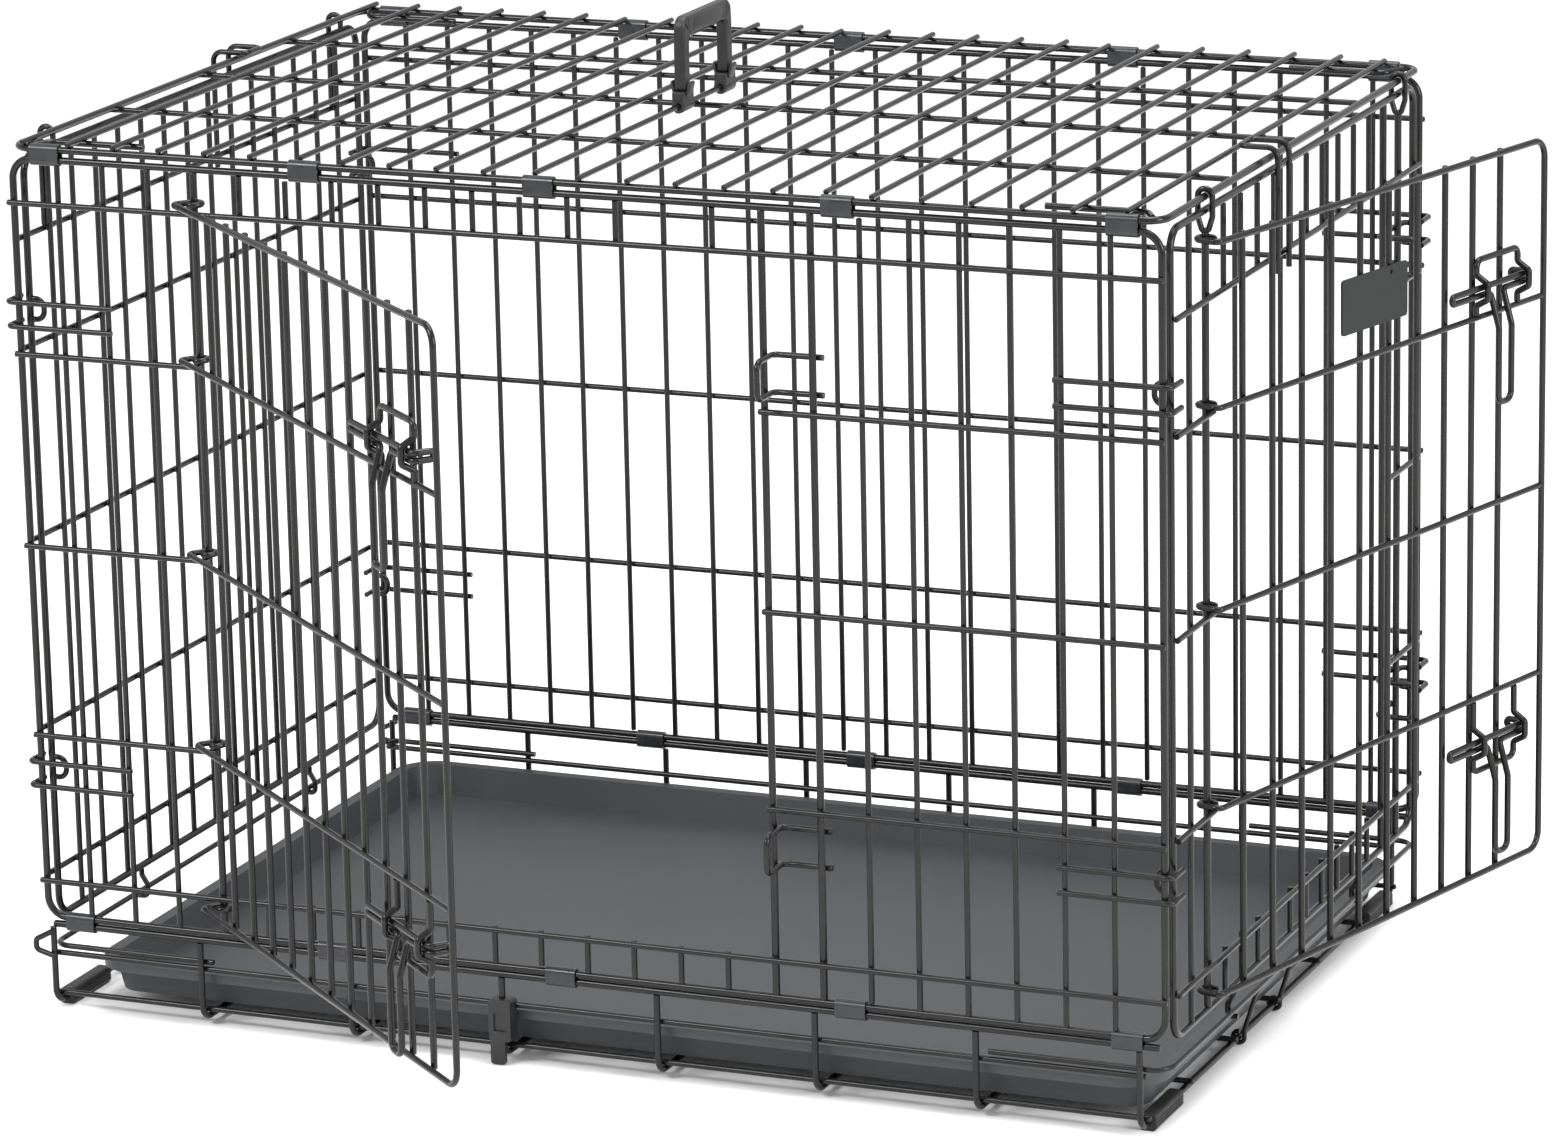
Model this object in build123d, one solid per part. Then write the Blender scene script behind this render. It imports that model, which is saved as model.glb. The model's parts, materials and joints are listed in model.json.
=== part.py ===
from build123d import *
import os
from math import cos, radians, sin

os.makedirs("parts", exist_ok=True)

# Wire dog crate, millimetres, +Z up.
# X runs along the crate, Y across it, Z = 0 is the floor.
# It is drawn with the origin on the floor at the middle of the cage, then moved at the end so that
# the origin is at the middle of the whole object's floor rectangle, open doors included.

# ---- driving dimensions ----
crate_length = 914.4
crate_depth = 605.0
crate_height = 682.0

wire_gap = 0.02
swing_gap = 0.4

long_columns = 24
end_columns = 15
end_panel_inset = 16.75

edge_wire = 5.6
rail_wire = 4.6
fill_wire = 4.4
leg_wire = 5.0
base_wire = 4.5
gate_wire = 3.5
door_frame_wire = 5.0
door_bar_wire = 5.0
latch_wire = 5.0
panel_corner = 16.0
rail_overhang = 2.0

# heights
top_edge_drop = 8.0
header_drop = 41.4
low_rail_height = 107.0
rail_spacing_share = 0.281
panel_bottom = 77.0
base_top_height = 71.0
base_mid_height = 46.0
base_end_height = 52.0
leg_floor_height = 6.5
end_header_drop = 73.0
end_top_drop = 10.0
end_bottom_height = 72.0

# front door
door_hinge_column = 4
door_jamb_column = 16
front_door_rest = 41.0
front_door_top_gap = 7.4
front_door_bottom_gap = 8.0
front_door_first_bar = 50.0
front_door_bar_spacing = 37.3

# end door
end_hinge_column = 2
end_jamb_column = 13
end_door_rest = 15.0
end_door_top_drop = 31.0
end_door_bottom = 87.0
end_door_first_bar = 32.0
end_door_bar_spacing = 39.0
door_rail_lift = 5.5
door_bar_gap = 0.35
door_bar_end = 0.6
door_last_gap = 30.0

# latches
latch_upper_lift = 27.0
latch_lower_drop = 30.0
bracket_near = 38.0
bracket_far = 97.0
bracket_top = 23.0
bracket_bump = 6.0
bracket_slope = 6.0
bolt_back = 139.0
bolt_nose = 30.0
bolt_nose_reach = 4.5
bolt_fold = 2.9
bolt_standoff = 5.0
bolt_gap = 0.3
bolt_handle_length = 88.0
bolt_handle_near = 67.0
bolt_handle_far = 85.0
bolt_handle_lean = 8.0
strike_half_height = 14.0
strike_gap = 0.5
strike_tail = 6.5

# keepers and side loops at the panel corners
keeper_start = 76.2
keeper_overhang = 7.8
keeper_turn = 18.0
keeper_half_height = 9.5
keeper_upper_lift = 30.5
keeper_lower_drop = 31.5
side_loop_reach = 12.0
side_loop_half_height = 8.0

# roof
roof_cross_wires = 24
roof_first_wire = 11.0
roof_long_spacing = 150.0
roof_wire_overhang = 3.0
brace_inset = 28.0
brace_start = 97.0
brace_end = 20.0
finger_loop_width = 26.0
finger_loop_reach = 20.0
finger_loop_tail = 11.0
finger_loop_offset = 62.0
hook_offset = 150.0
hinge_ring_offset = 247.65
hinge_ring_drop = 25.0

# hinge clips on the four long edges
clip_length = 24.0
clip_wall = 1.3
clip_clearance = 0.3
clip_places = [-0.4686, -0.232, -0.024, 0.232, 0.4686]

# base
leg_count = 8
leg_first_inset = 3.2
leg_last_inset = 20.1
leg_corner = 12.0
floor_wire_count = 7
end_rail_return = 139.0
end_rail_corner = 14.0
foot_length = 60.0
foot_start = 17.0
foot_width = 13.0
foot_height = 12.9
foot_rib = 0.8
lock_clip_leg = 3
lock_clip_width = 18.0
lock_clip_depth = 13.0
lock_clip_top = 52.0
lock_clip_bottom = 19.0

# pan
pan_left_inset = 27.2
pan_right_inset = 12.2
pan_side_gap = 10.5
pan_depth = 26.6
pan_wall = 2.0
pan_rim = 8.0
pan_rim_lip = 7.0
pan_corner = 34.0
pan_draft = 14.0
pan_gate_places = [-80.0, 5.0]
pan_gate_height = 39.5
pan_gate_lean = 15.0

# carrying handle
handle_wire_index = 11
handle_places = [-25.0, 57.0]
handle_rise = 68.0
handle_grip_depth = 15.0
handle_grip_thickness = 9.0
handle_leg_width = 11.0
handle_clip_width = 20.0
handle_clip_wall = 3.0

# name plate
plate_start = 158.0
plate_end = 247.0
plate_bottom = 550.0
plate_top = 592.0
plate_thickness = 1.5
plate_hole = 2.0

# ---- derived positions ----
half_length = crate_length / 2
half_depth = crate_depth / 2
pitch = crate_length / long_columns
end_half_width = half_depth - end_panel_inset
end_pitch = 2 * end_half_width / end_columns

panel_top = crate_height - top_edge_drop
header_height = crate_height - header_drop
rail_middle = (header_height + low_rail_height) / 2
rail_spacing = rail_spacing_share * (header_height - low_rail_height)
middle_rails = [rail_middle + rail_spacing, rail_middle, rail_middle - rail_spacing]
end_header_height = crate_height - end_header_drop
end_top_height = crate_height - end_top_drop
end_door_top = crate_height - end_door_top_drop
front_door_top = header_height + front_door_top_gap
front_door_bottom = low_rail_height - front_door_bottom_gap
door_rails = [height + door_rail_lift for height in middle_rails]
latch_upper = middle_rails[0] + latch_upper_lift
latch_lower = middle_rails[2] - latch_lower_drop
keeper_heights = [middle_rails[0] + keeper_upper_lift, middle_rails[2] - keeper_lower_drop]

edge_radius = edge_wire / 2
fill_offset = edge_radius - fill_wire / 2
rail_offset = edge_radius + rail_wire / 2 + wire_gap
inner_offset = -rail_offset
door_bar_standoff = rail_offset + rail_wire / 2 + door_bar_wire / 2 + door_bar_gap
door_rail_offset = door_bar_standoff + door_bar_wire / 2 + rail_wire / 2 + wire_gap
door_frame_offset = door_bar_standoff + door_bar_wire / 2 + door_frame_wire / 2 + wire_gap
bracket_offset = door_bar_standoff + door_bar_wire / 2 + latch_wire / 2 + wire_gap
bolt_offset = bracket_offset + bolt_standoff
bump_offset = bolt_offset + latch_wire + bolt_gap
strike_reach = bolt_offset + latch_wire / 2 + rail_wire / 2 + strike_gap
eye_radius = edge_radius + swing_gap + rail_wire / 2

front_hinge_x = -half_length + pitch * door_hinge_column
front_jamb_x = -half_length + pitch * door_jamb_column
front_door_width = front_jamb_x + pitch / 2 - front_hinge_x - 1.2
end_hinge_y = -end_half_width + end_pitch * end_hinge_column
end_jamb_y = -end_half_width + end_pitch * end_jamb_column
end_door_width = end_jamb_y + end_pitch / 2 - end_hinge_y + 0.8

clip_outer = edge_wire + 2 * (clip_clearance + clip_wall)
clip_inner = edge_wire + 2 * clip_clearance
clip_centres = [place * crate_length for place in clip_places]
leg_step = (crate_length - leg_first_inset - leg_last_inset) / (leg_count - 1)
leg_places = [-half_length + leg_first_inset + leg_step * i for i in range(leg_count)]


# ---- shape helpers ----
def rod(start, end, diameter):
    direction = Vector(*end) - Vector(*start)
    return Solid.make_cylinder(diameter / 2, direction.length, Plane(origin=start, z_dir=direction))


def bent_wire(points, radii, diameter, closed=False):
    path = FilletPolyline(*points, radius=radii, close=closed)
    section = Plane(origin=path @ 0, z_dir=path % 0) * Circle(diameter / 2)
    return sweep(section, path=path).solid()


def front(u, out, z):
    return (u, -half_depth - out, z)


def back(u, out, z):
    return (u, half_depth + out, z)


def left(u, out, z):
    return (-half_length - out, u, z)


def right(u, out, z):
    return (half_length + out, u, z)


def closed_frame(side, low_u, high_u, low_z, high_z, diameter):
    middle = (low_u + high_u) / 2
    points = [
        side(middle, 0, low_z),
        side(high_u, 0, low_z),
        side(high_u, 0, high_z),
        side(low_u, 0, high_z),
        side(low_u, 0, low_z),
        side(middle - 0.1, 0, low_z),
    ]
    return bent_wire(points, [panel_corner] * 4, diameter)


def under_clip(x):
    return any(abs(x - centre) < clip_length / 2 + edge_wire for centre in clip_centres)


def clip_row(side_y, low_z, high_z):
    middle = (low_z + high_z) / 2
    gap = high_z - low_z
    clips = []
    for centre in clip_centres:
        plane = Plane(origin=(centre - clip_length / 2, side_y, middle), x_dir=(0, 0, 1), z_dir=(1, 0, 0))
        outside = extrude(plane * SlotCenterToCenter(gap, clip_outer), clip_length)
        inside = extrude(plane * SlotCenterToCenter(gap, clip_inner), clip_length)
        clips.append((outside - inside).solid())
    return clips


nodes = {}


def save(name, solids):
    nodes[name] = solids


# ---- long side panels ----
def long_panel_rails(side, opening):
    start = -half_length - rail_overhang
    end = half_length + rail_overhang
    rails = []
    full = [header_height, low_rail_height]
    if not opening:
        full = full + middle_rails
    for height in full:
        rails.append(rod(side(start, rail_offset, height), side(end, rail_offset, height), rail_wire))
    if opening:
        hinge_end = front_hinge_x + rail_overhang
        jamb_end = front_jamb_x - rail_overhang
        for height in middle_rails:
            for low, high in ((start, hinge_end), (jamb_end, end)):
                rails.append(rod(side(low, rail_offset, height), side(high, rail_offset, height), rail_wire))
    return rails


def long_bar_ends(x):
    low = panel_bottom + edge_radius + wire_gap
    high = panel_top - edge_radius - wire_gap
    if under_clip(x):
        low = panel_bottom + clip_outer / 2 + wire_gap
        high = panel_top - clip_outer / 2 - wire_gap
    return low, high


def long_panel_bars(side, opening):
    bars = []
    thick = [door_hinge_column, door_jamb_column, door_jamb_column + 1]
    for column in range(1, long_columns):
        x = -half_length + pitch * column
        low, high = long_bar_ends(x)
        if opening and column in thick:
            continue
        if opening and door_hinge_column < column < door_jamb_column:
            upper = header_height - rail_overhang
            lower = low_rail_height + rail_overhang
            bars.append(rod(side(x, fill_offset, upper), side(x, fill_offset, high), fill_wire))
            bars.append(rod(side(x, fill_offset, low), side(x, fill_offset, lower), fill_wire))
        else:
            bars.append(rod(side(x, fill_offset, low), side(x, fill_offset, high), fill_wire))
    return bars


def keepers(side):
    arms = []
    out = fill_offset + fill_wire + wire_gap
    for end in (-1, 1):
        for height in keeper_heights:
            for lift in (keeper_half_height, -keeper_half_height):
                tip = end * (half_length + keeper_overhang)
                points = [
                    side(end * (half_length - keeper_start) - end * fill_wire, out, height + lift),
                    side(tip, out, height + lift),
                    side(tip, -keeper_turn, height + lift),
                ]
                arms.append(bent_wire(points, [5], fill_wire))
    return arms


def panel_edges(side):
    return closed_frame(side, -half_length, half_length, panel_bottom, panel_top, edge_wire)


front_thick = []
for column in (door_hinge_column, door_jamb_column, door_jamb_column + 1):
    x = -half_length + pitch * column
    low, high = long_bar_ends(x)
    front_thick.append(rod(front(x, 0, low), front(x, 0, high), edge_wire))

save("front_panel_frame", [panel_edges(front)] + front_thick)
save("front_panel_rails", long_panel_rails(front, True))
save("front_panel_bars", long_panel_bars(front, True))
save("front_panel_keepers", keepers(front))
save("back_panel_frame", [panel_edges(back)])
save("back_panel_rails", long_panel_rails(back, False))
save("back_panel_bars", long_panel_bars(back, False))
save("back_panel_keepers", keepers(back))


# ---- strikes ----
def strike(side, jamb, spacing, height):
    plane_u = jamb + edge_radius + rail_wire / 2 + wire_gap
    tail = jamb + spacing + strike_tail
    high = height + strike_half_height
    low = height - strike_half_height
    points = [
        side(tail, inner_offset, high),
        side(plane_u, inner_offset, high),
        side(plane_u, strike_reach, high),
        side(plane_u, strike_reach, low),
        side(plane_u, inner_offset, low),
        side(tail, inner_offset, low),
    ]
    return bent_wire(points, [5, 6, 6, 5], rail_wire)


save("front_door_strikes", [strike(front, front_jamb_x, pitch, z) for z in (latch_upper, latch_lower)])
save("end_door_strikes", [strike(right, end_jamb_y, end_pitch, z) for z in (latch_upper, latch_lower)])


# ---- roof ----
def roof_frame():
    points = [
        (0, -half_depth, crate_height),
        (half_length, -half_depth, crate_height),
        (half_length, half_depth, crate_height),
        (-half_length, half_depth, crate_height),
        (-half_length, -half_depth, crate_height),
        (-0.1, -half_depth, crate_height),
    ]
    return bent_wire(points, [panel_corner] * 4, edge_wire)


roof_wire_height = crate_height + edge_radius + fill_wire / 2 + wire_gap
roof_long_height = roof_wire_height - fill_wire / 2 - base_wire / 2 - wire_gap
roof_wire_places = [-half_length + roof_first_wire + pitch * i for i in range(roof_cross_wires)]


def roof_cross_wire(x):
    reach = half_depth + roof_wire_overhang
    if under_clip(x):
        reach = half_depth - clip_outer / 2 - wire_gap
    return rod((x, -reach, roof_wire_height), (x, reach, roof_wire_height), fill_wire)


def roof_long_wire(y):
    reach = half_length - edge_radius - wire_gap
    return rod((-reach, y, roof_long_height), (reach, y, roof_long_height), base_wire)


def corner_brace(x_side, y_side):
    inset_y = half_depth - brace_inset
    points = [
        (x_side * (half_length - brace_start), y_side * inset_y, crate_height),
        (x_side * (half_length - brace_end), y_side * inset_y, crate_height),
        (x_side * (half_length - brace_end / 2), y_side * (half_depth - brace_end / 2), crate_height),
    ]
    return bent_wire(points, [10], leg_wire)


save("roof_frame", [roof_frame()])
save("roof_cross_wires", [roof_cross_wire(x) for x in roof_wire_places])
save("roof_long_wires", [roof_long_wire(y) for y in (-roof_long_spacing, 0, roof_long_spacing)])
save("roof_corner_braces", [corner_brace(i, j) for i in (-1, 1) for j in (-1, 1)])
save("roof_front_clips", clip_row(-half_depth, panel_top, crate_height))
save("roof_back_clips", clip_row(half_depth, panel_top, crate_height))
save("base_front_clips", clip_row(-half_depth, base_top_height, panel_bottom))
save("base_back_clips", clip_row(half_depth, base_top_height, panel_bottom))


# ---- base ----
def cross_wire(x):
    top = base_top_height - edge_radius - wire_gap
    if under_clip(x):
        top = base_top_height - clip_outer / 2 - wire_gap
    points = [
        (x, -half_depth, top),
        (x, -half_depth, leg_floor_height),
        (x, half_depth, leg_floor_height),
        (x, half_depth, top),
    ]
    return bent_wire(points, [leg_corner] * 2, leg_wire)


floor_wire_height = leg_floor_height + leg_wire / 2 + fill_wire / 2 + wire_gap


def floor_wire(index):
    start = leg_places[0] - leg_wire
    end = leg_places[-1] + leg_wire
    y = -half_depth + crate_depth * index / (floor_wire_count - 1)
    height = floor_wire_height
    if index in (0, floor_wire_count - 1):
        turn = leg_corner - (leg_corner - leg_wire / 2 - fill_wire / 2 - wire_gap) * sin(radians(45))
        y = (half_depth - turn) * (-1 if index == 0 else 1)
        height = leg_floor_height + turn
    return rod((start, y, height), (end, y, height), fill_wire)


base_inner_y = half_depth - leg_wire / 2 - base_wire / 2 - wire_gap


def mid_rail(y_side):
    start = (leg_places[0] - leg_wire / 2, y_side * base_inner_y, base_mid_height)
    end = (leg_places[-1] + leg_wire / 2, y_side * base_inner_y, base_mid_height)
    return rod(start, end, base_wire)


def top_rail(y_side):
    reach = half_length - edge_wire
    start = (-reach, y_side * half_depth, base_top_height)
    end = (reach, y_side * half_depth, base_top_height)
    return rod(start, end, edge_wire)


def end_rail(x_side):
    start = x_side * (half_length - end_rail_return)
    points = [
        (start, -base_inner_y, base_end_height),
        (x_side * half_length, -base_inner_y, base_end_height),
        (x_side * half_length, base_inner_y, base_end_height),
        (start, base_inner_y, base_end_height),
    ]
    return bent_wire(points, [end_rail_corner] * 2, base_wire)


def corner_lug(y_side):
    y = y_side * (half_depth + leg_wire / 2 + fill_wire / 2 + wire_gap)
    x = -half_length
    points = [(x + 5, y, 66), (x - 10, y, 58), (x - 10, y, 50), (x + 5, y, 46)]
    return bent_wire(points, [4, 4], fill_wire)


def foot(x, y_side):
    start = y_side * (half_depth - foot_start)
    plane = Plane(origin=(x, start, 0), x_dir=(1, 0, 0), z_dir=(0, -y_side, 0))
    if plane.y_dir.Z < 0:
        plane = Plane(origin=(x, start, 0), x_dir=(-1, 0, 0), z_dir=(0, -y_side, 0))
    outline = Pos(0, foot_height / 2) * RectangleRounded(foot_width, foot_height, 3.5)
    outline = outline - Pos(0, leg_floor_height) * Circle(leg_wire / 2 + 0.05)
    for height in (4.2, 6.5, 8.8):
        for side_sign in (-1, 1):
            outline = outline - Pos(side_sign * foot_width / 2, height) * Rectangle(2 * foot_rib, foot_rib)
    return extrude(plane * outline, foot_length).solid()


def lock_clip():
    x = leg_places[lock_clip_leg]
    y = -half_depth
    middle = (lock_clip_top + lock_clip_bottom) / 2
    body = Pos(x, y, middle) * Box(lock_clip_width, lock_clip_depth, lock_clip_top - lock_clip_bottom)
    body = fillet(body.edges().filter_by(Axis.Y), 3)
    toe = Pos(x - 2, y - lock_clip_depth / 2 + 1.8, 12) * Box(lock_clip_width - 6, 3.6, 22)
    body = body + fillet(toe.edges().filter_by(Axis.Y), 2)
    body = body - rod((x, y, 0), (x, y, 90), leg_wire + 0.2)
    body = body - rod((x - 60, -base_inner_y, base_mid_height), (x + 60, -base_inner_y, base_mid_height), 4.7)
    slot = Pos(x, y - lock_clip_depth / 2, 34) * Box(lock_clip_width - 8, 3, 14)
    return (body - slot).solid()


save("base_cross_wires", [cross_wire(x) for x in leg_places])
save("base_floor_wires", [floor_wire(i) for i in range(floor_wire_count)])
save("base_mid_rails", [mid_rail(side) for side in (-1, 1)])
save("base_top_rails", [top_rail(side) for side in (-1, 1)])
save("base_end_rails", [end_rail(side) for side in (-1, 1)])
save("base_corner_lugs", [corner_lug(side) for side in (-1, 1)])
save("base_feet", [foot(x, side) for x in (leg_places[0], leg_places[-1]) for side in (-1, 1)])
save("base_lock_clip", [lock_clip()])


# ---- end panels ----
def end_frame(side, thick):
    frame = closed_frame(side, -end_half_width, end_half_width, end_bottom_height, end_top_height, edge_wire)
    low = end_bottom_height + edge_radius + wire_gap
    bars = []
    for y, high in thick:
        bars.append(rod(side(y, 0, low), side(y, 0, high), edge_wire))
    return [frame] + bars


def end_rails(side, opening):
    start = -end_half_width - rail_overhang
    end = end_half_width + rail_overhang
    rails = []
    full = [end_header_height, low_rail_height]
    if not opening:
        full = full + middle_rails
    for height in full:
        rails.append(rod(side(start, rail_offset, height), side(end, rail_offset, height), rail_wire))
    if opening:
        hinge_end = end_hinge_y + rail_overhang
        jamb_end = end_jamb_y - rail_overhang
        for height in middle_rails:
            for low, high in ((start, hinge_end), (jamb_end, end)):
                rails.append(rod(side(low, rail_offset, height), side(high, rail_offset, height), rail_wire))
    return rails


def end_bars(side, opening):
    low = end_bottom_height + edge_radius + wire_gap
    high = end_top_height - edge_radius - wire_gap
    thick = [end_hinge_column, end_jamb_column, end_jamb_column + 1]
    bars = []
    for column in range(1, end_columns):
        y = -end_half_width + end_pitch * column
        if opening and column in thick:
            continue
        if opening and end_hinge_column < column < end_jamb_column:
            upper = end_header_height - rail_overhang
            lower = low_rail_height + rail_overhang
            bars.append(rod(side(y, fill_offset, upper), side(y, fill_offset, high), fill_wire))
            bars.append(rod(side(y, fill_offset, low), side(y, fill_offset, lower), fill_wire))
        else:
            bars.append(rod(side(y, fill_offset, low), side(y, fill_offset, high), fill_wire))
    return bars


ring_radius = edge_radius + 0.5 + fill_wire / 2


def hinge_hook(side, y):
    points = [
        side(y, ring_radius, end_header_height + rail_wire / 2 + wire_gap),
        side(y, ring_radius, crate_height + ring_radius),
        side(y, -ring_radius, crate_height + ring_radius),
        side(y, -ring_radius, crate_height - 6),
    ]
    return bent_wire(points, [ring_radius - 0.1] * 2, fill_wire)


def hinge_loop(side, y):
    foot_z = crate_height - hinge_ring_drop
    shoulder = crate_height - 15
    points = [
        side(y, 0.1, foot_z),
        side(y, 2.4, foot_z),
        side(y, ring_radius, shoulder),
        side(y, ring_radius, crate_height + ring_radius),
        side(y, -ring_radius, crate_height + ring_radius),
        side(y, -ring_radius, shoulder),
        side(y, -2.4, foot_z),
        side(y, 0, foot_z),
    ]
    return bent_wire(points, [2.3, 4, ring_radius - 0.1, ring_radius - 0.1, 4, 2.3], fill_wire)


def finger_loop(side, y):
    out = rail_offset + rail_wire / 2 + fill_wire / 2 + wire_gap
    top = roof_wire_height + fill_wire + 0.3
    low = end_header_height - finger_loop_tail
    near = y - finger_loop_width / 2
    far = y + finger_loop_width / 2
    points = [
        side(near, out, low),
        side(near, out, top),
        side(near, -finger_loop_reach, top),
        side(far, -finger_loop_reach, top),
        side(far, out, top),
        side(far, out, low),
    ]
    return bent_wire(points, [8, 6, 6, 8], fill_wire)


def bottom_hook(side, y):
    leg = base_wire / 2 + fill_wire / 2 + 0.35
    points = [
        side(y, 0, end_bottom_height - edge_radius - wire_gap),
        side(y, 0, end_bottom_height - 7.5),
        side(y, -leg, base_end_height + 5),
        side(y, -leg, base_end_height - leg),
        side(y, 3.5, base_end_height - leg),
    ]
    return bent_wire(points, [4, 4, 4], fill_wire)


def side_loop(side, y, height):
    start = edge_radius + 0.05
    points = [
        side(y, -start, height + side_loop_half_height),
        side(y, -side_loop_reach, height + side_loop_half_height),
        side(y, -side_loop_reach, height - side_loop_half_height),
        side(y, -start, height - side_loop_half_height),
    ]
    return bent_wire(points, [7, 7], fill_wire)


def side_loops(side):
    return [side_loop(side, y, z) for y in (-end_half_width, end_half_width) for z in keeper_heights]


ring_y = end_half_width - end_pitch
thick_top = end_top_height - edge_radius - wire_gap
loop_top = crate_height - hinge_ring_drop - fill_wire / 2 - wire_gap
right_thick = [(end_hinge_y, loop_top), (end_jamb_y, thick_top), (end_jamb_y + end_pitch, loop_top)]

save("left_end_frame", end_frame(left, []))
save("left_end_rails", end_rails(left, False))
save("left_end_bars", end_bars(left, False))
save("left_end_hinge_hooks", [hinge_hook(left, -ring_y), hinge_hook(left, ring_y)])
save("left_end_finger_loop", [finger_loop(left, finger_loop_offset)])
save("left_end_bottom_hooks", [bottom_hook(left, -hook_offset), bottom_hook(left, hook_offset)])
save("left_end_side_loops", side_loops(left))
save("right_end_frame", end_frame(right, right_thick))
save("right_end_rails", end_rails(right, True))
save("right_end_bars", end_bars(right, True))
save("right_end_hinge_loops", [hinge_loop(right, end_hinge_y), hinge_loop(right, end_jamb_y + end_pitch)])
save("right_end_finger_loop", [finger_loop(right, -finger_loop_offset)])
save("right_end_bottom_hooks", [bottom_hook(right, -hook_offset), bottom_hook(right, hook_offset)])
save("right_end_side_loops", side_loops(right))


# ---- doors, drawn about their hinge wire, then placed and turned ----
def flat(u, out, z):
    return (u, -out, z)


def door_wire_start(run_offset):
    inner = eye_radius
    return [(2, inner), (inner, inner), (inner, -inner), (-inner, -inner), (-inner, run_offset)]


def door_frame(width, bottom, top):
    start = door_wire_start(door_frame_offset)
    points = [flat(u, out, top) for u, out in start]
    points.append(flat(width, door_frame_offset, top))
    points.append(flat(width, door_frame_offset, bottom))
    points.extend([flat(u, out, bottom) for u, out in reversed(start)])
    bend = [3.3, 5.4, 5.4, 5]
    return bent_wire(points, bend + [14, 14] + list(reversed(bend)), door_frame_wire)


def door_rail(width, height):
    points = [flat(u, out, height) for u, out in door_wire_start(door_rail_offset)]
    points.append(flat(width - door_frame_wire / 2 - wire_gap, door_rail_offset, height))
    return bent_wire(points, [3.3, 5.4, 5.4, 5], rail_wire)


def door_bars(width, bottom, top, first, spacing):
    bars = []
    count = int((width - first - door_last_gap) / spacing) + 1
    for index in range(count):
        u = first + spacing * index
        low = flat(u, door_bar_standoff, bottom - door_bar_end)
        bars.append(rod(low, flat(u, door_bar_standoff, top + door_bar_end), door_bar_wire))
    return bars


def latch_bracket(width, height, rail, closed_up):
    direction = 1 if closed_up else -1
    foot_z = rail + direction * (rail_wire / 2 + wire_gap)
    top_z = height + direction * bracket_top
    near = width - bracket_near
    far = width - bracket_far
    low_slope = height - direction * (bracket_bump + bracket_slope)
    low_bump = height - direction * bracket_bump
    high_bump = height + direction * bracket_bump
    high_slope = height + direction * (bracket_bump + bracket_slope)
    leg = [
        (bracket_offset, foot_z),
        (bracket_offset, low_slope),
        (bump_offset, low_bump),
        (bump_offset, high_bump),
        (bracket_offset, high_slope),
        (bracket_offset, top_z),
    ]
    points = [flat(far, out, z) for out, z in leg]
    points.extend([flat(near, out, z) for out, z in reversed(leg)])
    bend = [3, 3, 3, 3]
    return bent_wire(points, bend + [6, 6] + bend, latch_wire)


def bolt(width, height):
    out = bolt_offset
    lean = bolt_offset + bolt_handle_lean
    nose = width - bolt_nose
    back_end = width - bolt_back
    near = width - bolt_handle_near
    far = width - bolt_handle_far
    middle = (near + far) / 2
    low = height - bolt_handle_length
    knee = height - 30
    points = [
        flat(middle + 0.05, lean, low),
        flat(near, lean, low),
        flat(near, lean, knee),
        flat(near, out, height - bolt_fold),
        flat(nose, out, height - bolt_fold),
        flat(nose, bolt_nose_reach, height - bolt_fold),
        flat(nose, bolt_nose_reach, height + bolt_fold),
        flat(nose, out, height + bolt_fold),
        flat(back_end, out, height + bolt_fold),
        flat(back_end, out, height - bolt_fold),
        flat(far, out, height - bolt_fold),
        flat(far, lean, knee),
        flat(far, lean, low),
        flat(middle - 0.05, lean, low),
    ]
    fold = bolt_fold - 0.05
    bend = [7, 10, 4, 4, fold, fold, 4, fold, fold, 4, 10, 7]
    return bent_wire(points, bend, latch_wire)


def name_plate(width):
    out = door_bar_standoff + door_bar_wire / 2 + wire_gap
    centre_u = (plate_start + plate_end) / 2
    centre_z = (plate_bottom + plate_top) / 2
    outline = RectangleRounded(plate_end - plate_start, plate_top - plate_bottom, 3)
    outline = outline - Pos(22, 16) * Circle(plate_hole)
    plane = Plane(origin=(centre_u, -out, centre_z), x_dir=(1, 0, 0), z_dir=(0, -1, 0))
    return extrude(plane * outline, plate_thickness).solid()


front_place = Location((front_hinge_x, -half_depth, 0), (0, 0, -front_door_rest))
end_place = Location((half_length, end_hinge_y, 0), (0, 0, 90 - end_door_rest))


def save_door(prefix, place, width, bottom, top, first, spacing):
    save(prefix + "_frame", [place * door_frame(width, bottom, top)])
    save(prefix + "_rails", [place * door_rail(width, height) for height in door_rails])
    save(prefix + "_bars", [place * bar for bar in door_bars(width, bottom, top, first, spacing)])
    upper = latch_bracket(width, latch_upper, door_rails[0], True)
    lower = latch_bracket(width, latch_lower, door_rails[2], False)
    save(prefix + "_latch_brackets", [place * upper, place * lower])
    save(prefix + "_upper_bolt", [place * bolt(width, latch_upper)])
    save(prefix + "_lower_bolt", [place * bolt(width, latch_lower)])


front_bars = (front_door_first_bar, front_door_bar_spacing)
end_bar_layout = (end_door_first_bar, end_door_bar_spacing)
save_door("front_door", front_place, front_door_width, front_door_bottom, front_door_top, *front_bars)
save_door("end_door", end_place, end_door_width, end_door_bottom, end_door_top, *end_bar_layout)
save("end_door_name_plate", [end_place * name_plate(end_door_width)])


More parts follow.
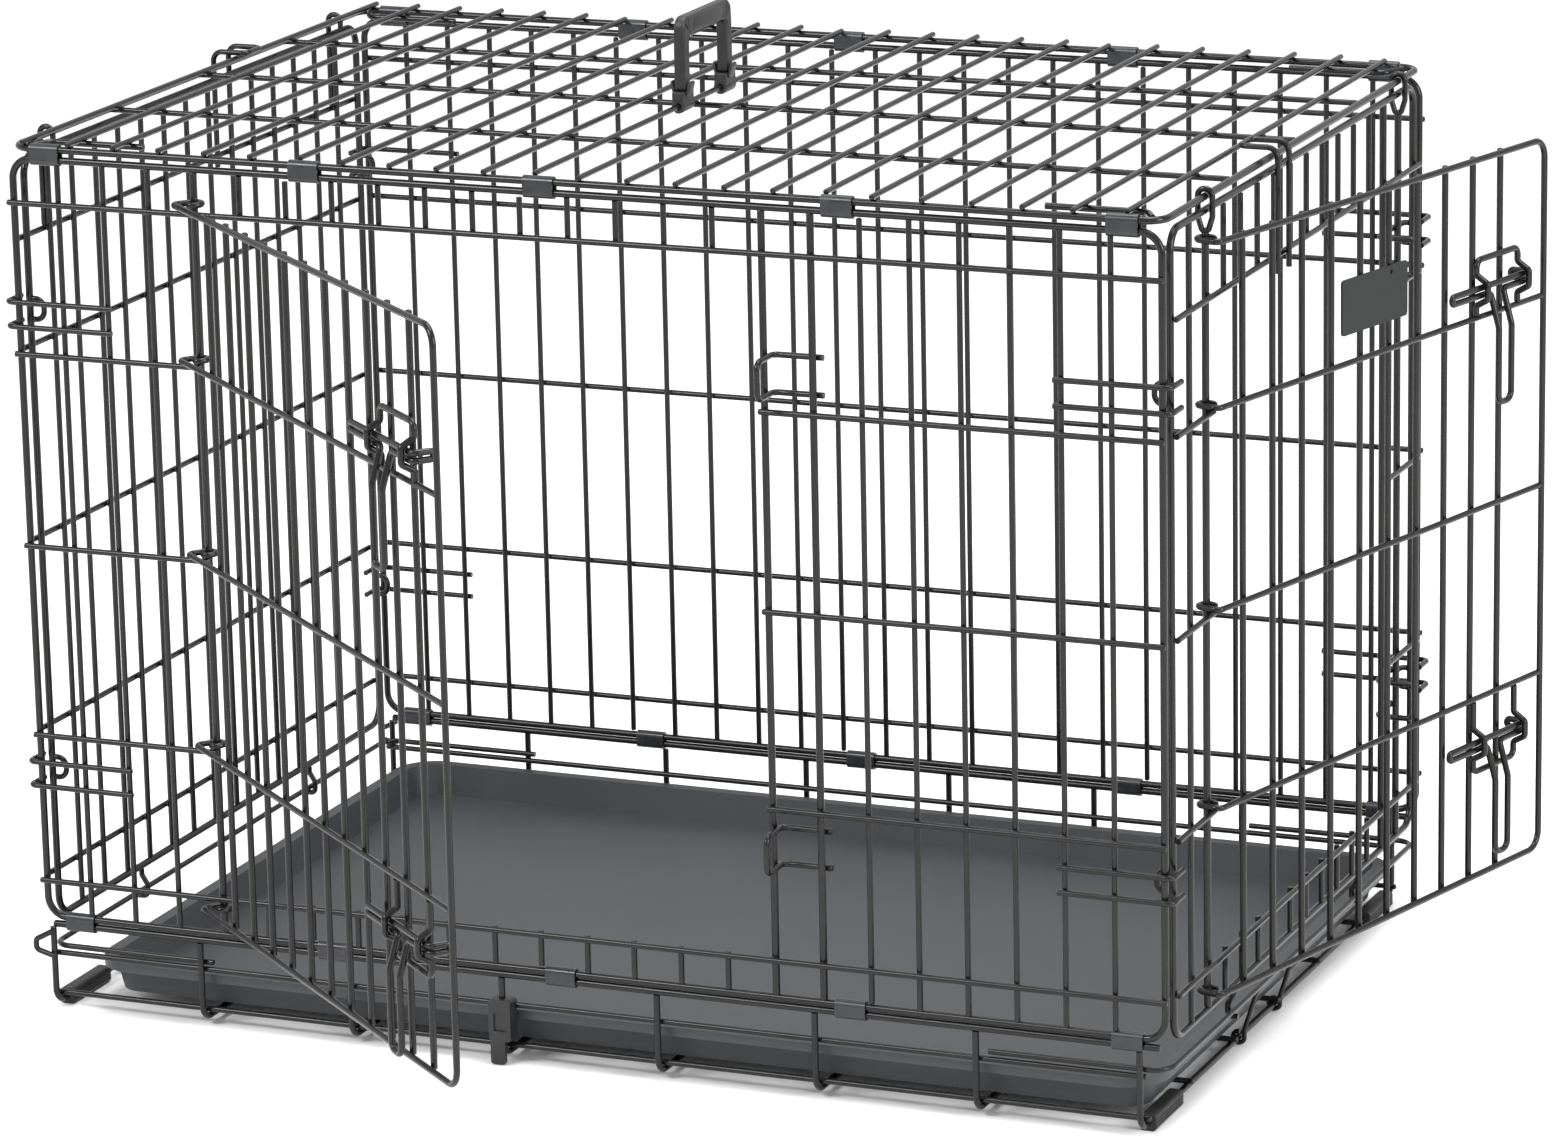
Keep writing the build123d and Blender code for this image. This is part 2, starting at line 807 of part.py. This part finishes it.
# ---- pan and its gate ----
def pan():
    width = crate_length - pan_left_inset - pan_right_inset
    depth = crate_depth - 2 * pan_side_gap
    bottom = floor_wire_height + fill_wire / 2 + 0.06
    top = bottom + pan_depth
    centre_x = (pan_left_inset - pan_right_inset) / 2
    slope = sin(radians(pan_draft)) / cos(radians(pan_draft))
    shrink = 2 * (pan_rim + pan_depth * slope)
    floor_outline = RectangleRounded(width - shrink, depth - shrink, pan_corner - shrink / 2)
    outside = Pos(centre_x, 0, bottom) * extrude(floor_outline, pan_depth, taper=-pan_draft)
    inner_outline = RectangleRounded(
        width - shrink - 2 * pan_wall, depth - shrink - 2 * pan_wall, pan_corner - shrink / 2 - pan_wall
    )
    inside = Pos(centre_x, 0, bottom + pan_wall) * extrude(inner_outline, pan_depth, taper=-pan_draft)
    rim_outline = RectangleRounded(width, depth, pan_corner)
    rim = Pos(centre_x, 0, top - pan_rim_lip) * extrude(rim_outline, pan_rim_lip)
    under_outline = RectangleRounded(width - 2 * pan_wall, depth - 2 * pan_wall, pan_corner - pan_wall)
    under = Pos(centre_x, 0, top - pan_rim_lip) * extrude(under_outline, pan_rim_lip - pan_wall)
    return (outside + (rim - under) - inside).solid()


def pan_gate():
    x = leg_places[-1]
    z = leg_floor_height
    ring = leg_wire / 2 + 0.25 + gate_wire / 2
    eye = [(0.8, ring), (-ring, ring), (-ring, -ring), (ring, -ring), (ring, 6)]
    eye.append((pan_gate_lean, pan_gate_height))
    near, far = pan_gate_places
    points = [(x + dx, near, z + dz) for dx, dz in eye]
    points.extend([(x + dx, far, z + dz) for dx, dz in reversed(eye)])
    bend = [ring - 0.1, ring - 0.1, ring - 0.1, 5]
    return bent_wire(points, bend + [6, 6] + list(reversed(bend)), gate_wire)


save("pan", [pan()])
save("pan_gate", [pan_gate()])


# ---- carrying handle ----
def handle_clip(x, y):
    hole = fill_wire / 2 + 0.25
    outer = hole + handle_clip_wall
    axis = (x, y - handle_clip_width / 2, roof_wire_height)
    shell = rod(axis, (x, y + handle_clip_width / 2, roof_wire_height), 2 * outer)
    stem = Pos(x, y, roof_wire_height + outer) * Box(2 * outer - 1, handle_clip_width, 2 * outer)
    hole_start = (x, y - handle_clip_width, roof_wire_height)
    hole_end = (x, y + handle_clip_width, roof_wire_height)
    return (shell + stem - rod(hole_start, hole_end, 2 * hole)).solid()


def handle_grip(x):
    hole = fill_wire / 2 + 0.25
    start = roof_wire_height + 2 * (hole + handle_clip_wall) + wire_gap
    top = roof_wire_height + handle_rise
    near, far = handle_places
    low_y = near - handle_leg_width / 2
    high_y = far + handle_leg_width / 2
    middle_y = (low_y + high_y) / 2
    middle_z = (start + top) / 2
    start_x = x - handle_grip_thickness / 2
    plane = Plane(origin=(start_x, middle_y, middle_z), x_dir=(0, 1, 0), z_dir=(1, 0, 0))
    width = high_y - low_y
    height = top - start
    outline = RectangleRounded(width, height, 9)
    outline = outline + Pos(0, -height / 4) * Rectangle(width, height / 2)
    hollow_height = height - handle_grip_depth
    hollow_width = width - 2 * handle_leg_width
    hollow = Pos(0, -handle_grip_depth / 2) * RectangleRounded(hollow_width, hollow_height, 5)
    hollow = hollow + Pos(0, -height / 2 + hollow_height / 4) * Rectangle(hollow_width, hollow_height / 2)
    body = extrude(plane * (outline - hollow), handle_grip_thickness)
    return body.solid()


handle_x = roof_wire_places[handle_wire_index]
save("handle_clips", [handle_clip(handle_x, y) for y in handle_places])
save("handle_grip", [handle_grip(handle_x)])


# ---- move the origin and write one file for each node ----
everything = Compound([solid for solids in nodes.values() for solid in solids])
box = everything.bounding_box()
origin = Vector((box.min.X + box.max.X) / 2, (box.min.Y + box.max.Y) / 2, 0)
for name, solids in nodes.items():
    export_step(Compound([Pos(-origin) * solid for solid in solids]), f"parts/{name}.step")
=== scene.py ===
import json
import math
import random

import bmesh
import bpy
from mathutils import Matrix, Vector
from mathutils.geometry import intersect_line_line


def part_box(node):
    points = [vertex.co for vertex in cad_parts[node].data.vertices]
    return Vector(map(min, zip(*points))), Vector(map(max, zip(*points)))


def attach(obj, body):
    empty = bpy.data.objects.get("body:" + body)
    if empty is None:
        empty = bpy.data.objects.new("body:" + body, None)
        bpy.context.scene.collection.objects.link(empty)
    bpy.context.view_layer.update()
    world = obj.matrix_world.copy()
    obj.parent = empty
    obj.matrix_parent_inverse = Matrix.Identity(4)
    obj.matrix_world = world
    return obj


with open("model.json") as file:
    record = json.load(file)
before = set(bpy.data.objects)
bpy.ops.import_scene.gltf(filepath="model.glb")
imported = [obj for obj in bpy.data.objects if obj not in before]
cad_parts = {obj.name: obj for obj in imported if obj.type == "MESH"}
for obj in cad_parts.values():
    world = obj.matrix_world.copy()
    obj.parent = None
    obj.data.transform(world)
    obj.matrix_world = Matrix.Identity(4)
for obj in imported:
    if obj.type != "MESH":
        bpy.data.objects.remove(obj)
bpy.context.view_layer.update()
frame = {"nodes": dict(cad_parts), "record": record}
nodes = frame["nodes"]
bodies = frame["record"]["behaviour"]["bodies"]
rng = random.Random(7)
bpy.context.scene.view_settings.view_transform = "Standard"


# ---- materials ----
def new_material(name):
    material = bpy.data.materials.new(name)
    material.use_nodes = True
    tree = material.node_tree
    return material, tree, tree.nodes["Principled BSDF"]


def add(tree, kind, **values):
    node = tree.nodes.new(kind)
    for key, value in values.items():
        node.inputs[key].default_value = value
    return node


def ramp(tree, source, low, high, start=0.35, end=0.65):
    node = tree.nodes.new("ShaderNodeValToRGB")
    node.color_ramp.elements[0].position = start
    node.color_ramp.elements[1].position = end
    node.color_ramp.elements[0].color = (*low, 1)
    node.color_ramp.elements[1].color = (*high, 1)
    tree.links.new(source, node.inputs["Fac"])
    return node.outputs["Color"]


def span(tree, source, low, high):
    node = tree.nodes.new("ShaderNodeMapRange")
    node.inputs["From Min"].default_value = 0.3
    node.inputs["From Max"].default_value = 0.7
    node.inputs["To Min"].default_value = low
    node.inputs["To Max"].default_value = high
    tree.links.new(source, node.inputs["Value"])
    return node.outputs["Result"]


# A dark finish with wide patches of colour and roughness and a fine grain in the surface.
def textured(name, dark, light, rough, patch, grain, bump, spec=0.5, dust=None):
    material, tree, shader = new_material(name)
    shader.inputs["Specular IOR Level"].default_value = spec
    place = tree.nodes.new("ShaderNodeTexCoord").outputs["Object"]
    wide = add(tree, "ShaderNodeTexNoise", Scale=patch, Detail=3.0)
    fine = add(tree, "ShaderNodeTexNoise", Scale=grain, Detail=4.0)
    tree.links.new(place, wide.inputs["Vector"])
    tree.links.new(place, fine.inputs["Vector"])
    colour = ramp(tree, wide.outputs["Fac"], dark, light)
    if dust:
        speck = ramp(tree, fine.outputs["Fac"], (0, 0, 0), (1, 1, 1), 0.58, 0.74)
        mix = tree.nodes.new("ShaderNodeMix")
        mix.data_type = "RGBA"
        tree.links.new(speck, mix.inputs["Factor"])
        tree.links.new(colour, mix.inputs["A"])
        mix.inputs["B"].default_value = (*dust, 1)
        colour = mix.outputs["Result"]
    tree.links.new(colour, shader.inputs["Base Color"])
    tree.links.new(span(tree, wide.outputs["Fac"], *rough), shader.inputs["Roughness"])
    relief = add(tree, "ShaderNodeBump", Strength=bump, Distance=0.0003)
    tree.links.new(fine.outputs["Fac"], relief.inputs["Height"])
    tree.links.new(relief.outputs["Normal"], shader.inputs["Normal"])
    return material


wire_black = textured(
    "wire_black",
    dark=(0.0045, 0.0042, 0.0042),
    light=(0.009, 0.0085, 0.008),
    rough=(0.18, 0.28),
    patch=45,
    grain=520,
    bump=0.05,
    spec=0.36,
)
weld_black = textured(
    "weld_black",
    dark=(0.004, 0.004, 0.004),
    light=(0.009, 0.0085, 0.0085),
    rough=(0.24, 0.38),
    patch=160,
    grain=900,
    bump=0.25,
    spec=0.36,
)
pan_black = textured(
    "pan_black",
    dark=(0.030, 0.033, 0.037),
    light=(0.040, 0.043, 0.048),
    rough=(0.40, 0.52),
    patch=7,
    grain=1500,
    bump=0.30,
    dust=(0.05, 0.053, 0.058),
)
foot_black = textured(
    "foot_black",
    dark=(0.012, 0.012, 0.012),
    light=(0.020, 0.020, 0.020),
    rough=(0.45, 0.60),
    patch=80,
    grain=1800,
    bump=0.30,
    spec=0.4,
)
handle_black = textured(
    "handle_black",
    dark=(0.010, 0.010, 0.011),
    light=(0.018, 0.018, 0.019),
    rough=(0.36, 0.50),
    patch=60,
    grain=2400,
    bump=0.35,
    spec=0.45,
)
plate_black = textured(
    "plate_black",
    dark=(0.010, 0.0115, 0.0115),
    light=(0.015, 0.0165, 0.0165),
    rough=(0.42, 0.54),
    patch=35,
    grain=1600,
    bump=0.12,
    spec=0.25,
)
clip_black = textured(
    "clip_black",
    dark=(0.012, 0.013, 0.016),
    light=(0.022, 0.023, 0.027),
    rough=(0.24, 0.38),
    patch=90,
    grain=900,
    bump=0.12,
    spec=0.5,
)

special = {
    "base_feet": foot_black,
    "base_lock_clip": handle_black,
    "pan": pan_black,
    "handle_grip": handle_black,
    "handle_clips": handle_black,
    "end_door_name_plate": plate_black,
    "roof_front_clips": clip_black,
    "roof_back_clips": clip_black,
    "base_front_clips": clip_black,
    "base_back_clips": clip_black,
}
for name, node in nodes.items():
    node.data.materials.clear()
    node.data.materials.append(special.get(name, wire_black))


# ---- softened edges on the moulded parts ----
def soften(node, width, segments):
    weld = node.modifiers.new("merge", "WELD")
    weld.merge_threshold = 0.00001
    bevel = node.modifiers.new("soft_edge", "BEVEL")
    bevel.width = width
    bevel.segments = segments
    bevel.limit_method = "ANGLE"
    bevel.angle_limit = math.radians(38)
    bevel.harden_normals = False


soften(nodes["handle_grip"], 0.0022, 3)
soften(nodes["handle_clips"], 0.0006, 2)
soften(nodes["base_lock_clip"], 0.0007, 2)
soften(nodes["end_door_name_plate"], 0.0004, 2)


# ---- straight wires read back from the frame ----
thickest_wire = 0.004  # radius
weld_gap = 0.0003  # a crossing is welded when the surfaces are no further apart than this
end_slack = 0.001


# Splits a mesh into its separate solids, joining vertices that share a place.
def loose_parts(mesh):
    parent = list(range(len(mesh.vertices)))

    def root(i):
        while parent[i] != i:
            parent[i] = parent[parent[i]]
            i = parent[i]
        return i

    spots = {}
    for vertex in mesh.vertices:
        key = tuple(round(c * 1e5) for c in vertex.co)
        if key in spots:
            parent[root(vertex.index)] = root(spots[key])
        else:
            spots[key] = vertex.index
    for edge in mesh.edges:
        a, b = root(edge.vertices[0]), root(edge.vertices[1])
        if a != b:
            parent[a] = b
    groups = {}
    for vertex in mesh.vertices:
        groups.setdefault(root(vertex.index), []).append(vertex.co.copy())
    return list(groups.values())


def distinct(points):
    seen = {}
    for p in points:
        seen.setdefault(tuple(round(c * 1e6) for c in p), p)
    return list(seen.values())


def middle_of(points):
    apart = distinct(points)
    return sum(apart, Vector()) / len(apart)


# The two end centres, the axis and the radius of a straight wire, or None for any other shape.
def straight_wire(points):
    start = points[0]
    far = max(points, key=lambda p: (p - start).length_squared)
    near = max(points, key=lambda p: (p - far).length_squared)
    axis = (far - near).normalized()
    places = [(p - near).dot(axis) for p in points]
    low, high = min(places), max(places)
    first = [p for p, t in zip(points, places) if t - low < 1e-4]
    last = [p for p, t in zip(points, places) if high - t < 1e-4]
    if len(first) < 6 or len(last) < 6:
        first = [p for p, t in zip(points, places) if t < (low + high) / 2]
        last = [p for p, t in zip(points, places) if t >= (low + high) / 2]
    a = middle_of(first)
    b = middle_of(last)
    axis = (b - a).normalized()
    radii = [((p - a) - axis * (p - a).dot(axis)).length for p in points]
    radius = max(radii)
    rim = [r for r in radii if r > 0.6 * radius]
    if radius > thickest_wire or not rim or min(rim) < 0.85 * radius:
        return None
    if (b - a).length < 4 * radius:
        return None
    return a, b, axis, radius


wires = {}
for body, names in bodies.items():
    found = []
    for name in names:
        if name in special or name == "base_corner_lugs":
            continue
        for part in loose_parts(nodes[name].data):
            wire = straight_wire(part)
            if wire:
                found.append((name, *wire))
    wires[body] = found


# ---- rounded wire ends and weld beads ----
def ring_point(centre, axis, radius, turn):
    side = axis.orthogonal().normalized()
    other = axis.cross(side)
    return centre + side * (radius * math.cos(turn)) + other * (radius * math.sin(turn))


dome_profile = ((1.0, 0.0), (0.93, 0.42), (0.70, 0.76), (0.36, 0.95))  # share of radius, share of rise
dome_sides = 14


def add_dome(bm, centre, axis, radius, rise):
    sides = dome_sides
    rows = []
    for share, lift in dome_profile:
        middle = centre + axis * (rise * lift)
        row = []
        for k in range(sides):
            row.append(bm.verts.new(ring_point(middle, axis, radius * share, math.tau * k / sides)))
        rows.append(row)
    tip = bm.verts.new(centre + axis * rise)
    for low, high in zip(rows, rows[1:]):
        for k in range(sides):
            bm.faces.new((low[k], low[(k + 1) % sides], high[(k + 1) % sides], high[k]))
    for k in range(sides):
        bm.faces.new((rows[-1][k], rows[-1][(k + 1) % sides], tip))


def add_bead(bm, centre, across, first, second, reach, depth):
    made = bmesh.ops.create_icosphere(bm, subdivisions=2, radius=1.0)["verts"]
    squash = rng.uniform(0.92, 1.08)
    columns = (first * reach * squash, second * reach / squash, across * depth)
    shape = Matrix(columns).transposed()
    for vertex in made:
        wobble = 1 + 0.05 * math.sin(7 * vertex.co.x + 5 * vertex.co.y + 9 * vertex.co.z + 40 * centre.x)
        vertex.co = centre + shape @ (vertex.co * wobble)


# Turns a bmesh into an object that moves with one body of the frame.
def add_piece(name, bm, body, material):
    mesh = bpy.data.meshes.new(name)
    bm.to_mesh(mesh)
    bm.free()
    for polygon in mesh.polygons:
        polygon.use_smooth = True
    mesh.materials.append(material)
    piece = bpy.data.objects.new(name, mesh)
    bpy.context.scene.collection.objects.link(piece)
    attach(piece, body)
    return piece


for body, found in wires.items():
    if not found:
        continue
    ends = bmesh.new()
    for _, a, b, axis, radius in found:
        for centre, way in ((a, -axis), (b, axis)):
            add_dome(ends, centre - way * 0.0001, way, radius * 1.01, radius * 0.62)
    add_piece(body + "_wire_ends", ends, body, wire_black)
    beads = bmesh.new()
    for index, (_, a, b, axis, radius) in enumerate(found):
        for _, c, d, other_axis, other_radius in found[index + 1 :]:
            if abs(axis.dot(other_axis)) > 0.9:
                continue
            hit = intersect_line_line(a, b, c, d)
            if not hit:
                continue
            on_first, on_second = hit
            gap = (on_first - on_second).length
            if abs(gap - radius - other_radius) > weld_gap:
                continue
            t = (on_first - a).dot(axis)
            s = (on_second - c).dot(other_axis)
            if t < -end_slack or t > (b - a).length + end_slack:
                continue
            if s < -end_slack or s > (d - c).length + end_slack:
                continue
            across = (on_second - on_first).normalized()
            centre = on_first + across * radius
            second = across.cross(axis).normalized()
            reach = min(radius, other_radius)
            add_bead(beads, centre, across, axis, second, reach * 1.08, reach * 0.62)
    if beads.verts:
        add_piece(body + "_weld_beads", beads, body, weld_black)
    else:
        beads.free()


# ---- moulded detail on the carrying handle ----
# A rounded block: the power squares off a ball, and lower powers are squarer.
def add_pad(bm, centre, half, power, turn):
    made = bmesh.ops.create_icosphere(bm, subdivisions=3, radius=1.0)["verts"]
    for vertex in made:
        shape = [math.copysign(abs(c) ** power, c) * h for c, h in zip(vertex.co, half)]
        vertex.co = centre + turn @ Vector(shape)


grip_low, grip_high = (Vector(corner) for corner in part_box("handle_grip"))
clip_low, clip_high = (Vector(corner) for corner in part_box("handle_clips"))
middle_x = (grip_low.x + grip_high.x) / 2
snap_half = (0.0013, 0.0055, 0.0065)
snap_lean = math.radians(16)
snap_from_middle = 0.0062
snap_from_end = 0.01
snap_lift = 0.0015
swell_half_width = 0.0062
swell_half_height = 0.0074
swell_below_top = 0.0076
swell_from_end = 0.013

snaps = bmesh.new()
for y in (clip_low.y + snap_from_end, clip_high.y - snap_from_end):
    for way in (-1, 1):
        centre = Vector((middle_x + way * snap_from_middle, y, grip_low.z + snap_lift))
        turn = Matrix.Rotation(way * snap_lean, 3, "Y")
        add_pad(snaps, centre, snap_half, 0.55, turn)
add_piece("handle_snap_tabs", snaps, "handle", handle_black)

swell = bmesh.new()
top_centre = Vector((middle_x, (grip_low.y + grip_high.y) / 2, grip_high.z - swell_below_top))
swell_half_length = (grip_high.y - grip_low.y) / 2 - swell_from_end
swell_half = (swell_half_width, swell_half_length, swell_half_height)
add_pad(swell, top_centre, swell_half, 0.62, Matrix.Identity(3))
add_piece("handle_soft_grip", swell, "handle", handle_black)

# ---- stage, lights and camera ----
floor_mesh = bpy.data.meshes.new("floor")
half_floor = 30.0
floor_corners = [(x * half_floor, y * half_floor, 0) for x, y in ((-1, -1), (1, -1), (1, 1), (-1, 1))]
floor_mesh.from_pydata(floor_corners, [], [(0, 1, 2, 3)])
floor = bpy.data.objects.new("floor", floor_mesh)
bpy.context.scene.collection.objects.link(floor)
floor_material, _, floor_shader = new_material("floor_white")
floor_shader.inputs["Base Color"].default_value = (0.95, 0.95, 0.95, 1)
floor_shader.inputs["Roughness"].default_value = 0.9
floor_shader.inputs["Specular IOR Level"].default_value = 0.0
floor_mesh.materials.append(floor_material)

world = bpy.data.worlds.new("studio")
bpy.context.scene.world = world
world.use_nodes = True
world.node_tree.nodes["Background"].inputs["Color"].default_value = (1, 1, 1, 1)
world.node_tree.nodes["Background"].inputs["Strength"].default_value = 0.9


def soft_light(name, place, target, width, height, power):
    lamp = bpy.data.lights.new(name, "AREA")
    lamp.shape = "RECTANGLE"
    lamp.size = width
    lamp.size_y = height
    lamp.energy = power
    item = bpy.data.objects.new(name, lamp)
    bpy.context.scene.collection.objects.link(item)
    item.location = place
    item.rotation_euler = (Vector(target) - Vector(place)).to_track_quat("-Z", "Y").to_euler()


aim = (0, 0, 0.3)
soft_light("key", (-2.0, -3.0, 3.2), aim, width=1.4, height=1.0, power=110)
soft_light("top", (0.3, 0.4, 3.4), aim, width=2.4, height=1.6, power=90)
soft_light("side", (3.2, -0.8, 1.6), aim, width=0.8, height=1.6, power=60)

camera_data = bpy.data.cameras.new("camera")
camera_data.lens = 156.84
camera_data.sensor_width = 36.0
camera_data.clip_end = 100.0
camera = bpy.data.objects.new("camera", camera_data)
bpy.context.scene.collection.objects.link(camera)
camera.location = (1.9512, -4.547, 1.671)
camera.rotation_euler = [math.radians(angle) for angle in (75.1171, 1.1132, 22.4828)]
bpy.context.scene.camera = camera

bpy.context.view_layer.update()
